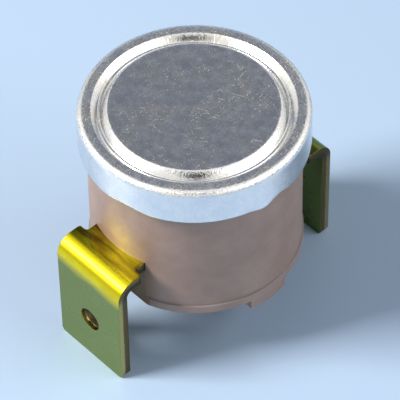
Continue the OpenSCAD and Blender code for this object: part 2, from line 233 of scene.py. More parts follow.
def write_uv(piece: bpy.types.Object, name: str, uv: np.ndarray) -> None:
    """Writes one UV position for each vertex into a UV map of that name.

    Args:
        piece: the mesh object.
        name: the UV map's name.
        uv: one position for each vertex.
    """
    mesh = piece.data
    corner = np.empty(len(mesh.loops), np.int32)
    mesh.loops.foreach_get("vertex_index", corner)
    layer = mesh.uv_layers.new(name=name)
    layer.data.foreach_set("uv", uv[corner].astype(np.float32).ravel())


def vertex_array(piece: bpy.types.Object) -> np.ndarray:
    """Reads a piece's vertices.

    Args:
        piece: the mesh object.

    Returns:
        One point a row.
    """
    flat = np.empty(len(piece.data.vertices) * 3, np.float32)
    piece.data.vertices.foreach_get("co", flat)
    return flat.reshape(-1, 3).astype(float)


# Materials

# What may feed a node's input: a socket, or a node by its first live output
Feed = bpy.types.Node | bpy.types.NodeSocket

# Noise swings about 0.5. A map range node with these settings reads it as a share from 0 to 1, and one
# whose range runs down gives a share that falls from 1 to 0.
PATCHES = {"From Min": 0.35, "From Max": 0.65}
DRIFT = {"From Min": 0.3, "From Max": 0.7}
# A mix node with this setting blends the colours of its inputs 6 and 7, by the share in its input 0
COLOURS = {"data_type": "RGBA"}


def add_node(
    tree: bpy.types.NodeTree,
    kind: str,
    settings: dict[str | int, object] | None = None,
    links: dict[str | int, Feed] | None = None,
) -> bpy.types.Node:
    """Adds one node with its settings and links.

    Args:
        tree: the node tree that gets it.
        kind: Blender's name of the node's type, without the "ShaderNode" in front of it.
        settings: values by the name or number of an input socket, or by the name of a property.
        links: what feeds an input, by the input's name or number.

    Returns:
        The new node.
    """
    made = tree.nodes.new("ShaderNode" + kind)
    for key, value in (settings or {}).items():
        if isinstance(key, int) or key in made.inputs:
            made.inputs[key].default_value = value
        else:
            setattr(made, key, value)
    for key, feed in (links or {}).items():
        if isinstance(feed, bpy.types.Node):
            feed = next(socket for socket in feed.outputs if socket.enabled)
        tree.links.new(feed, made.inputs[key])
    return made


def blank_material(name: str) -> tuple[bpy.types.Material, bpy.types.NodeTree]:
    """Makes a material without nodes.

    Args:
        name: the material's name.

    Returns:
        The material and its node tree.
    """
    material = bpy.data.materials.new(name)
    material.use_nodes = True
    material.node_tree.nodes.clear()
    return material, material.node_tree


def add_surface(
    tree: bpy.types.NodeTree,
    settings: dict[str | int, object],
    links: dict[str | int, Feed] | None = None,
) -> None:
    """Ends a material with its surface shader and its output.

    Args:
        tree: the material's node tree.
        settings: the shader's values that are the same all over the surface.
        links: what feeds the shader's other inputs.
    """
    shader = add_node(tree, "BsdfPrincipled", settings, links)
    add_node(tree, "OutputMaterial", links={"Surface": shader})


def add_place(tree: bpy.types.NodeTree, uv_map: str = "") -> bpy.types.Node:
    """Gives the place on a surface in millimetres.

    Args:
        tree: the material's node tree.
        uv_map: the piece's own UV map to read, or nothing for its Object coordinates.

    Returns:
        The node that gives the place.
    """
    if uv_map:
        metres = add_node(tree, "UVMap", {"uv_map": uv_map}).outputs["UV"]
    else:
        metres = add_node(tree, "TexCoord").outputs["Object"]
    return add_node(tree, "VectorMath", {"operation": "SCALE", "Scale": 1 / MM}, {0: metres})


def add_clouds(
    tree: bpy.types.NodeTree,
    place: Feed,
    noise: dict[str, float],
    colours: tuple[str, str],
    contrast: dict[str, float] = PATCHES,
) -> tuple[bpy.types.Node, bpy.types.Node]:
    """Draws soft patches of two colours.

    Args:
        tree: the material's node tree.
        place: the place, in millimetres.
        noise: the settings of the noise.
        colours: the colour where the noise is low, and the one where it is high.
        contrast: the range of the noise over which the first turns into the second.

    Returns:
        The node that gives the noise and the node that gives the colour.
    """
    cloud = add_node(tree, "TexNoise", noise, {"Vector": place})
    share = add_node(tree, "MapRange", contrast, {"Value": cloud})
    ends = {6: linear(colours[0]), 7: linear(colours[1])}
    return cloud, add_node(tree, "Mix", COLOURS | ends, {0: share})


def add_hairlines(
    tree: bpy.types.NodeTree, place: Feed, cell: float, length: float, width: float
) -> bpy.types.Node:
    """Draws short straight scratches, each turned at random.

    The surface is divided into random cells about `cell` apart. In each, the place is taken from the
    cell's centre and turned by the cell's own random angle. The scratch is where the turned place's
    second coordinate is under half the width and its first under half the length. It is full up to 0.25
    of its length and 0.15 of its width from its middle, and fades out from there. One cell in three has a
    scratch too shallow to see.

    Args:
        tree: the material's node tree.
        place: a place on the surface, in millimetres.
        cell: spacing of the cells, in millimetres.
        length: length of a scratch, in millimetres.
        width: width of a scratch, in millimetres.

    Returns:
        The node that gives 1 in the middle of a scratch and 0 beside it.
    """
    cells = add_node(
        tree,
        "TexVoronoi",
        {"voronoi_dimensions": "2D", "Scale": 1 / cell, "Randomness": 1.0},
        {"Vector": place},
    )
    chance = add_node(tree, "SeparateColor", links={"Color": cells.outputs["Color"]}).outputs
    offset = add_node(
        tree, "VectorMath", {"operation": "SUBTRACT"}, {0: place, 1: cells.outputs["Position"]}
    )
    angle = add_node(tree, "MapRange", {"To Max": 2 * math.pi}, {"Value": chance["Red"]})
    turned = add_node(
        tree, "VectorRotate", {"rotation_type": "Z_AXIS"}, {"Vector": offset, "Angle": angle}
    )
    along = add_node(tree, "SeparateXYZ", links={"Vector": turned}).outputs
    cut = add_node(tree, "MapRange", {"From Min": 0.35}, {"Value": chance["Green"]})
    for axis, size, full in (("X", length, 0.25), ("Y", width, 0.15)):
        aside = add_node(tree, "Math", {"operation": "ABSOLUTE"}, {0: along[axis]})
        ends = {"From Min": 0.5 * size, "From Max": full * size}
        fade = add_node(tree, "MapRange", ends, {"Value": aside})
        cut = add_node(tree, "Math", {"operation": "MULTIPLY"}, {0: cut, 1: fade})
    return cut


@dataclass(frozen=True)
class Zone:
    """A part of the cap where its marks are stronger, with lengths in millimetres.

    The marks grow to their full strength between the two `radii`, and between the two `heights` over
    the side wall's top. `least` is the share that is left inside the first radius, and the share that is
    left under the first height.
    """

    radii: tuple[float, float]
    heights: tuple[float, float]
    least: tuple[float, float]

    def add_share(self, tree: bpy.types.NodeTree, reach: Feed, height: Feed) -> bpy.types.Node:
        """Works out the strength of the marks: the share at a radius times the share at a height.

        Args:
            tree: the material's node tree.
            reach: the distance from the cap's axis.
            height: the height over the side wall's top.

        Returns:
            The node that gives the share.
        """
        shares = {}
        for i, (value, ends) in enumerate(((reach, self.radii), (height, self.heights))):
            shares[i] = add_node(
                tree,
                "MapRange",
                {"From Min": ends[0], "From Max": ends[1], "To Min": self.least[i]},
                {"Value": value},
            )
        return add_node(tree, "Math", {"operation": "MULTIPLY"}, shares)


@dataclass(frozen=True)
class DrawnAluminium:
    """Aluminium sheet, drawn over a punch and handled in bulk.

    The eye sees a bright satin metal, mottled on top, with short hairline scratches in every direction
    and small pits that catch the light on the rounded edges. The outer edge is knocked rough in spots.
    The die has ironed the side wall smoother.
    """

    wall_top: float

    colour: str = "#F0F0EF"
    dull_colour: str = "#DCDEE3"
    stain_colour: str = "#F0ECE4"
    fresh_colour: str = "#EAF2FF"
    roughness: tuple[float, float] = (0.15, 0.26)
    # How much rougher the metal is in a scratch, and where the outer edge was knocked
    scratch_gain: float = 0.24
    knock_gain: float = 0.24
    mottle_mm: float = 0.9
    # Grit marks are about 0.05 mm wide. They are drawn three times as wide, so that the render shows them.
    grit_mm: float = 0.16
    # Spacing, length and width of the scratches, from the long ones down to the nicks
    scratches_mm: tuple[tuple[float, float, float], ...] = (
        (1.3, 1.1, 0.035),
        (0.8, 0.55, 0.045),
        (0.42, 0.3, 0.045),
        (0.3, 0.12, 0.075),
    )
    # Scratches crowd together in patches, where the metal is stained as well
    crowd_mm: float = 2.6
    dent_depth: float = 0.012 * MM
    pit_depth: float = 0.026 * MM
    scratch_depth: float = 0.003 * MM
    # The unevenness and the stains fade over this height under the wall's top, down to this share
    ironed_mm: float = 0.4
    ironed_share: float = 0.3
    # The pits are deepest on the raised edges outside the face, and on the rounded outer edge
    pitted: tuple[Zone, Zone] = (
        Zone((5.7, 5.9), (0.2, 0.34), (0.4, 0.35)),
        Zone((7.35, 7.55), (-0.15, 0.1), (0.0, 0.2)),
    )
    # The part of the outer edge that was knocked rough
    knocked: Zone = Zone((7.65, 7.9), (-0.03, 0.15), (0.0, 0.0))
    uv_map: str = "sheet"

    def add_scratches(self, tree: bpy.types.NodeTree, place: Feed, crowd: Feed) -> bpy.types.Node:
        """Draws the scratches of every size, crowded together in patches.

        Args:
            tree: the material's node tree.
            place: the place on the sheet, in millimetres.
            crowd: a noise that is high where they crowd together.

        Returns:
            The node that gives 1 in the middle of a scratch and 0 beside it.
        """
        deepest, *others = [add_hairlines(tree, place, *sizes) for sizes in self.scratches_mm]
        for other in others:
            deepest = add_node(tree, "Math", {"operation": "MAXIMUM"}, {0: deepest, 1: other})
        crowded = add_node(
            tree, "MapRange", {"From Min": 0.4, "From Max": 0.62, "To Min": 0.15}, {"Value": crowd}
        )
        return add_node(tree, "Math", {"operation": "MULTIPLY"}, {0: deepest, 1: crowded})

    def material(self) -> bpy.types.Material:
        """Builds the material.

        Returns:
            The material for the sensing cap.
        """
        material, tree = blank_material("aluminium_drawn_sheet")
        place = add_place(tree, self.uv_map)
        mottle, clean = add_clouds(
            tree,
            place,
            {"Scale": 1 / self.mottle_mm, "Detail": 6.0, "Roughness": 0.72},
            (self.dull_colour, self.colour),
        )
        grit = add_node(
            tree,
            "TexNoise",
            {"Scale": 1 / self.grit_mm, "Detail": 2.0, "Roughness": 0.5},
            {"Vector": place},
        )
        crowd = add_node(
            tree,
            "TexNoise",
            {"Scale": 1 / self.crowd_mm, "Detail": 2.0, "Roughness": 0.6},
            {"Vector": place},
        )
        scratch = self.add_scratches(tree, place, crowd)
        reach = add_node(tree, "VectorMath", {"operation": "LENGTH"}, {0: place})
        up = add_node(tree, "SeparateXYZ", links={"Vector": add_place(tree)}).outputs["Z"]
        height = add_node(tree, "Math", {"operation": "SUBTRACT", 1: self.wall_top / MM}, {0: up})
        uneven = add_node(
            tree,
            "MapRange",
            {"From Min": -self.ironed_mm, "From Max": 0.0, "To Min": self.ironed_share},
            {"Value": height},
        )

        stain = add_node(tree, "MapRange", {"From Min": 0.42, "From Max": 0.68}, {"Value": crowd})
        stained = add_node(tree, "Math", {"operation": "MULTIPLY"}, {0: stain, 1: uneven})
        aged = add_node(tree, "Mix", COLOURS | {7: linear(self.stain_colour)}, {0: stained, 6: clean})
        base = add_node(tree, "Mix", COLOURS | {7: linear(self.fresh_colour)}, {0: scratch, 6: aged})

        smooth_to_dull = {"To Min": self.roughness[0], "To Max": self.roughness[1]}
        satin = add_node(tree, "MapRange", DRIFT | smooth_to_dull, {"Value": mottle})
        scuffed = add_node(
            tree, "Math", {"operation": "MULTIPLY_ADD", 1: self.scratch_gain}, {0: scratch, 2: satin}
        )
        spots = add_node(tree, "MapRange", {"From Min": 0.42, "From Max": 0.58}, {"Value": grit})
        knocks = add_node(
            tree,
            "Math",
            {"operation": "MULTIPLY"},
            {0: self.knocked.add_share(tree, reach, height), 1: spots},
        )
        rough = add_node(
            tree, "Math", {"operation": "MULTIPLY_ADD", 1: self.knock_gain}, {0: knocks, 2: scuffed}
        )

        dents = add_node(
            tree, "Bump", {"Distance": self.dent_depth}, {"Height": mottle, "Strength": uneven}
        )
        shares = {i: zone.add_share(tree, reach, height) for i, zone in enumerate(self.pitted)}
        pits = add_node(
            tree,
            "Bump",
            {"Distance": self.pit_depth},
            {
                "Height": grit,
                "Strength": add_node(tree, "Math", {"operation": "MAXIMUM"}, shares),
                "Normal": dents,
            },
        )
        cuts = add_node(
            tree,
            "Bump",
            {"Strength": 1.0, "Distance": self.scratch_depth, "invert": True},
            {"Height": scratch, "Normal": pits},
        )
        add_surface(tree, {"Metallic": 1.0}, {"Base Color": base, "Roughness": rough, "Normal": cuts})
        return material


@dataclass(frozen=True)
class Fold:
    """Where a terminal's strip is bent: the bend's axis, its outside radius and the strip's thickness."""

    axis_x: float
    axis_z: float
    outer_r: float
    strip: float

    def add_depth(self, tree: bpy.types.NodeTree, place: Feed) -> bpy.types.Node:
        """Works out how deep a point lies under the strip's outer face.

        With u = max(|x| - axis_x, 0) and w = max(z - axis_z, 0), the depth is outer_r - sqrt(u^2 + w^2).
        It holds on the flat part, where u is 0, on the blade, where w is 0, and in the bend.

        Args:
            tree: the material's node tree.
            place: the point, in millimetres.

        Returns:
            The node that gives the depth in millimetres.
        """
        part = add_node(tree, "SeparateXYZ", links={"Vector": place}).outputs
        away = add_node(tree, "Math", {"operation": "ABSOLUTE"}, {0: part["X"]})
        over = {}
        for name, feed, axis in (("X", away, self.axis_x), ("Y", part["Z"], self.axis_z)):
            past = add_node(tree, "Math", {"operation": "SUBTRACT", 1: axis / MM}, {0: feed})
            over[name] = add_node(tree, "Math", {"operation": "MAXIMUM", 1: 0.0}, {0: past})
        corner = add_node(tree, "CombineXYZ", links=over)
        reach = add_node(tree, "VectorMath", {"operation": "LENGTH"}, {0: corner})
        return add_node(tree, "Math", {"operation": "SUBTRACT", 0: self.outer_r / MM}, {1: reach})


@dataclass(frozen=True)
class RolledBrass:
    """Brass strip, rolled, pressed and bent.

    The eye sees a yellow satin metal, bright where the bending tool has rubbed it, and smoother on the
    flat part, which wasn't stretched. Below the bend the blade is painted olive: a painted reflection, and
    on the right terminal, where the olive reaches over the bend, painted shade. Faint lines run along the
    rolling direction. Dark brown streaks on the flat part, along the bend, are tarnish and painted dark
    reflections.
    """

    fold: Fold
    colour: str = "#DACB1E"
    dull_colour: str = "#C6B522"
    # Olive painted on the blade: a painted reflection, and painted shade where it covers the right
    # terminal's bend
    olive_reflection_colour: str = "#70803E"
    # How far the painted olive's upper edge wanders, and where it fades, from the height of the bend's axis
    olive_ragged_mm: float = 1.2
    olive_fade_mm: tuple[float, float] = (-0.1, 0.7)
    # How much higher the olive reaches on the right terminal, where it covers the bend as painted shade
    olive_shade_higher_mm: float = 1.9
    # Dark brown streaks on the flat part: tarnish, and painted dark reflections
    tarnish_and_reflection_colour: str = "#5C4818"
    streak_mm: float = 0.45
    roughness: tuple[float, float] = (0.24, 0.34)
    flat_gain: float = -0.13
    # Where the flat part's finish fades out, from the place of the bend's axis
    flat_fade_mm: tuple[float, float] = (-0.15, 0.3)
    cloud_mm: float = 2.4
    # Rolling lines are about 0.03 mm apart. They are drawn four times as far apart, to show in the render.
    line_mm: float = 0.12
    line_depth: float = 0.002 * MM
    wave_depth: float = 0.004 * MM

    def material(self) -> bpy.types.Material:
        """Builds the material.

        Returns:
            The material for the terminals' faces.
        """
        material, tree = blank_material("brass_rolled_strip")
        place = add_place(tree)
        cloud, clean = add_clouds(
            tree,
            place,
            {"Scale": 1 / self.cloud_mm, "Detail": 5.0, "Roughness": 0.6},
            (self.colour, self.dull_colour),
            {"From Min": 0.35, "From Max": 0.7},
        )
        part = add_node(tree, "SeparateXYZ", links={"Vector": place}).outputs
        away = add_node(tree, "Math", {"operation": "ABSOLUTE"}, {0: part["X"]})
        near, far = (self.fold.axis_x / MM + fade for fade in self.flat_fade_mm)
        flat = add_node(tree, "MapRange", {"From Min": far, "From Max": near}, {"Value": away})

        # The olive below the bend is a painted reflection, and on the right terminal's bend painted shade
        olive_share = self.add_olive_reflection_and_shade(tree, cloud, part["X"], part["Z"])
        olive_blend = add_node(tree, "Mix", COLOURS | {7: linear(self.olive_reflection_colour)}, {0: olive_share, 6: clean})
        # The streaks are tarnish and painted dark reflections
        dark_streaks = self.add_tarnish_and_reflection(tree, place, part["Y"], flat)
        base = add_node(
            tree, "Mix", COLOURS | {7: linear(self.tarnish_and_reflection_colour)}, {0: dark_streaks, 6: olive_blend}
        )

        smooth_to_dull = {"To Min": self.roughness[0], "To Max": self.roughness[1]}
        satin = add_node(tree, "MapRange", DRIFT | smooth_to_dull, {"Value": cloud})
        rough = add_node(
            tree, "Math", {"operation": "MULTIPLY_ADD", 1: self.flat_gain}, {0: flat, 2: satin}
        )

        # The lines are twenty times as long as they are far apart
        drawn_out = add_node(
            tree,
            "Mapping",
            {"Scale": (0.05 / self.line_mm, 1 / self.line_mm, 0.05 / self.line_mm)},
            {"Vector": place},
        )
        rolled = add_node(
            tree, "TexNoise", {"Scale": 1.0, "Detail": 2.0, "Roughness": 0.5}, {"Vector": drawn_out}
        )
        lines = add_node(
            tree, "Bump", {"Strength": 1.0, "Distance": self.line_depth}, {"Height": rolled}
        )
        waves = add_node(
            tree,
            "Bump",
            {"Strength": 1.0, "Distance": self.wave_depth},
            {"Height": cloud, "Normal": lines},
        )
        add_surface(tree, {"Metallic": 1.0}, {"Base Color": base, "Roughness": rough, "Normal": waves})
        return material

    def add_olive_reflection_and_shade(self, tree: bpy.types.NodeTree, cloud: Feed, x: Feed, z: Feed) -> bpy.types.Node:
        """Draws the painted olive reflection under a ragged line that is higher on the right terminal,
        where the olive is painted shade.

        Args:
            tree: the material's node tree.
            cloud: the noise that makes the line ragged.
            x: the place along X, in millimetres.
            z: the place along Z, in millimetres.

        Returns:
            The node that gives 1 in the film and 0 over it.
        """
        ragged = add_node(
            tree, "Math", {"operation": "MULTIPLY_ADD", 1: self.olive_ragged_mm}, {0: cloud, 2: z}
        )
        higher = add_node(
            tree,
            "MapRange",
            {"From Min": -1.0, "From Max": 1.0, "To Max": self.olive_shade_higher_mm},
            {"Value": x},
        )
        level = add_node(tree, "Math", {"operation": "SUBTRACT"}, {0: ragged, 1: higher})
        low, high = (self.fold.axis_z / MM + fade for fade in self.olive_fade_mm)
        return add_node(tree, "MapRange", {"From Min": high, "From Max": low}, {"Value": level})

    def add_tarnish_and_reflection(self, tree: bpy.types.NodeTree, place: Feed, y: Feed, flat: Feed) -> bpy.types.Node:
        """Draws dark streaks along the bend, on the flat part only, and more of them towards +Y: tarnish,
        and painted dark reflections.

        Args:
            tree: the material's node tree.
            place: the place, in millimetres.
            y: its part along Y.
            flat: 1 on the flat part and 0 from the bend on.

        Returns:
            The node that gives 1 in the middle of a streak and 0 on clean metal.
        """
        # The streaks are about eight times as long as they are wide
        drawn_out = add_node(
            tree,
            "Mapping",
            {"Scale": (1 / self.streak_mm, 0.12 / self.streak_mm, 0.0)},
            {"Vector": place},
        )
        noise = add_node(
            tree, "TexNoise", {"Scale": 1.0, "Detail": 4.0, "Roughness": 0.6}, {"Vector": drawn_out}
        )
        streaks = add_node(
            tree, "MapRange", {"From Min": 0.32, "From Max": 0.6, "To Min": 0.3}, {"Value": noise}
        )
        across = add_node(
            tree, "MapRange", {"From Min": -2.0, "From Max": 2.0, "To Min": 0.7}, {"Value": y}
        )
        streaked = add_node(tree, "Math", {"operation": "MULTIPLY"}, {0: flat, 1: streaks})
        return add_node(tree, "Math", {"operation": "MULTIPLY"}, {0: streaked, 1: across})


@dataclass(frozen=True)
class ShearedBrass:
    """The edge that a press tool leaves on brass strip.

    The eye sees two bands along each cut: a smooth bright one where the punch sheared the strip, and a
    darker, grainy one where the rest tore off. From the bend up, the edge is painted dark brown: a painted
    dark reflection.
    """

    fold: Fold
    sheared_colour: str = "#9F945E"
    torn_colour: str = "#645A3D"
    # Dark brown painted on the edge from the bend up: a painted dark reflection
    dark_reflection_colour: str = "#47412B"
    # Where the painted dark reflection sets in, from the height of the bend's axis, and how much it covers
    dark_reflection_fade_mm: tuple[float, float] = (-0.4, 0.2)
    dark_reflection_share: float = 0.8
    sheared_share: float = 0.45
    roughness: tuple[float, float] = (0.22, 0.5)
    # How far the line between the bands wanders, and half the width over which one turns into the other
    ragged_mm: float = 0.25
    soft_mm: float = 0.03
    tear_mm: float = 0.12
    tear_depth: float = 0.03 * MM

    def material(self) -> bpy.types.Material:
        """Builds the material.

        The noise lies about 0.5, so the line between the bands is moved by half of what it wanders.

        Returns:
            The material for cut edges.
        """
        material, tree = blank_material("brass_sheared_edge")
        place = add_place(tree)
        tear = add_node(tree, "TexNoise", {"Scale": 1 / self.tear_mm, "Detail": 3.0}, {"Vector": place})
        ragged = add_node(
            tree,
            "Math",
            {"operation": "MULTIPLY_ADD", 1: self.ragged_mm},
            {0: tear, 2: self.fold.add_depth(tree, place)},
        )
        line = self.sheared_share * self.fold.strip / MM + self.ragged_mm / 2
        torn = add_node(
            tree,
            "MapRange",
            {"From Min": line - self.soft_mm, "From Max": line + self.soft_mm},
            {"Value": ragged},
        )
        ends = {6: linear(self.sheared_colour), 7: linear(self.torn_colour)}
        clean = add_node(tree, "Mix", COLOURS | ends, {0: torn})
        up = add_node(tree, "SeparateXYZ", links={"Vector": place}).outputs["Z"]
        low, high = (self.fold.axis_z / MM + fade for fade in self.dark_reflection_fade_mm)
        # From the bend up the edge is painted dark: a painted dark reflection
        dark_reflection = add_node(
            tree, "MapRange", {"From Min": low, "From Max": high, "To Max": self.dark_reflection_share}, {"Value": up}
        )
        base = add_node(tree, "Mix", COLOURS | {7: linear(self.dark_reflection_colour)}, {0: dark_reflection, 6: clean})
        smooth_to_dull = {"To Min": self.roughness[0], "To Max": self.roughness[1]}
        rough = add_node(tree, "MapRange", smooth_to_dull, {"Value": torn})
        grain = add_node(tree, "Math", {"operation": "MULTIPLY"}, {0: tear, 1: torn})
        skin = add_node(tree, "Bump", {"Strength": 1.0, "Distance": self.tear_depth}, {"Height": grain})
        add_surface(tree, {"Metallic": 1.0}, {"Base Color": base, "Roughness": rough, "Normal": skin})
        return material


@dataclass(frozen=True)
class MouldedPhenolic:
    """Phenolic resin with mineral filler, moulded in a polished steel tool.

    The eye sees an even satin skin, with a slight cloudiness from the filler and a fine grain in the
    highlights. A paler, greyer line runs round it at one height; on the body it lies on the ledge's edge
    and is a painted highlight.
    """

    name: str
    colour: str
    cloud_colour: str
    pale_line_z: float
    # On the body the pale line along the ledge's edge is a painted highlight
    pale_line_colour: str = "#93878A"
    pale_line_w: float = 0.1 * MM
    # Share of the line's width over which it is palest
    pale_line_core: float = 0.4
    roughness: float = 0.42
    ior: float = 1.55
    cloud_mm: float = 2.5
    # The filler's grains are about 0.03 mm. They are drawn four times as large, to show in the render.
    grain_mm: float = 0.12
    grain_depth: float = 0.003 * MM

    def material(self) -> bpy.types.Material:
        """Builds the material.

        Returns:
            The material for a moulding.
        """
        material, tree = blank_material(self.name)
        place = add_place(tree)
        _, clouded = add_clouds(
            tree,
            place,
            {"Scale": 1 / self.cloud_mm, "Detail": 6.0, "Roughness": 0.65},
            (self.colour, self.cloud_colour),
        )
        up = add_node(tree, "SeparateXYZ", links={"Vector": place}).outputs["Z"]
        over = add_node(tree, "Math", {"operation": "SUBTRACT", 1: self.pale_line_z / MM}, {0: up})
        aside = add_node(tree, "Math", {"operation": "ABSOLUTE"}, {0: over})
        half = self.pale_line_w / MM / 2
        # The pale line: on the body a painted highlight along the ledge's edge
        on_pale_line = add_node(
            tree, "MapRange", {"From Min": half, "From Max": self.pale_line_core * half}, {"Value": aside}
        )
        base = add_node(
            tree, "Mix", COLOURS | {7: linear(self.pale_line_colour)}, {0: on_pale_line, 6: clouded}
        )
        grain = add_node(tree, "TexNoise", {"Scale": 1 / self.grain_mm, "Detail": 2.0}, {"Vector": place})
        skin = add_node(tree, "Bump", {"Strength": 1.0, "Distance": self.grain_depth}, {"Height": grain})
        add_surface(
            tree, {"Roughness": self.roughness, "IOR": self.ior}, {"Base Color": base, "Normal": skin}
        )
        return material


@dataclass(frozen=True)
class TumbledMetal:
    """A small metal piece that was stamped and tumbled clean.

    The eye sees an even satin surface, a little cloudy, without a direction.
    """

    name: str
    colour: str
    dull_colour: str
    roughness: float
    roughness_swing: float = 0.05
    cloud_mm: float = 0.6
    cloud_depth: float = 0.004 * MM

    def material(self) -> bpy.types.Material:
        """Builds the material.

        Returns:
            The material for one of the small metal pieces.
        """
        material, tree = blank_material(self.name)
        cloud, base = add_clouds(
            tree,
            add_place(tree),
            {"Scale": 1 / self.cloud_mm, "Detail": 5.0, "Roughness": 0.65},
            (self.colour, self.dull_colour),
        )
        smooth_to_dull = {
            "To Min": self.roughness - self.roughness_swing,
            "To Max": self.roughness + self.roughness_swing,
        }
        satin = add_node(tree, "MapRange", DRIFT | smooth_to_dull, {"Value": cloud})
        skin = add_node(tree, "Bump", {"Strength": 1.0, "Distance": self.cloud_depth}, {"Height": cloud})
        add_surface(tree, {"Metallic": 1.0}, {"Base Color": base, "Roughness": satin, "Normal": skin})
        return material


@dataclass(frozen=True)
class FiredCeramic:
    """Steatite, pressed and fired without glaze: off-white, nearly matt, with a fine pressed grain."""

    colour: str = "#EDE8DC"
    speck_colour: str = "#DCD6C8"
    roughness: float = 0.6
    ior: float = 1.6
    # The powder's grains are about 0.02 mm. They are drawn four times as large, to show in a near view.
    grain_mm: float = 0.08
    grain_depth: float = 0.004 * MM

    def material(self) -> bpy.types.Material:
        """Builds the material.

        Returns:
            The material for the push pin.
        """
        material, tree = blank_material("steatite_fired")
        grain, base = add_clouds(
            tree,
            add_place(tree),
            {"Scale": 1 / self.grain_mm, "Detail": 3.0},
            (self.colour, self.speck_colour),
            {"From Min": 0.5, "From Max": 0.7},
        )
        skin = add_node(tree, "Bump", {"Strength": 1.0, "Distance": self.grain_depth}, {"Height": grain})
        add_surface(
            tree, {"Roughness": self.roughness, "IOR": self.ior}, {"Base Color": base, "Normal": skin}
        )
        return material


# Pieces


@dataclass(frozen=True)
class Press:
    """A place where the rolling tool left the cap's lip out of line.

    `at` is its angle about the axis and `half_width` how far it runs to each side, in degrees. `out` and
    `up` are the most that it moves the lip.
    """

    at: float
    half_width: float
    out: float
    up: float

    def shift(self, turn: np.ndarray) -> tuple[np.ndarray, np.ndarray]:
        """Works out how far the lip is moved: cos^2(pi a / (2 half_width)), a being the angle from `at`.

        Args:
            turn: angles about the axis, in radians.

        Returns:
            How far outwards and how far up, for each angle.
        """
        half = math.radians(self.half_width)
        aside = np.abs(np.angle(np.exp(1j * (turn - math.radians(self.at)))))
        share = np.cos(0.5 * math.pi * np.minimum(aside / half, 1)) ** 2
        return self.out * share, self.up * share


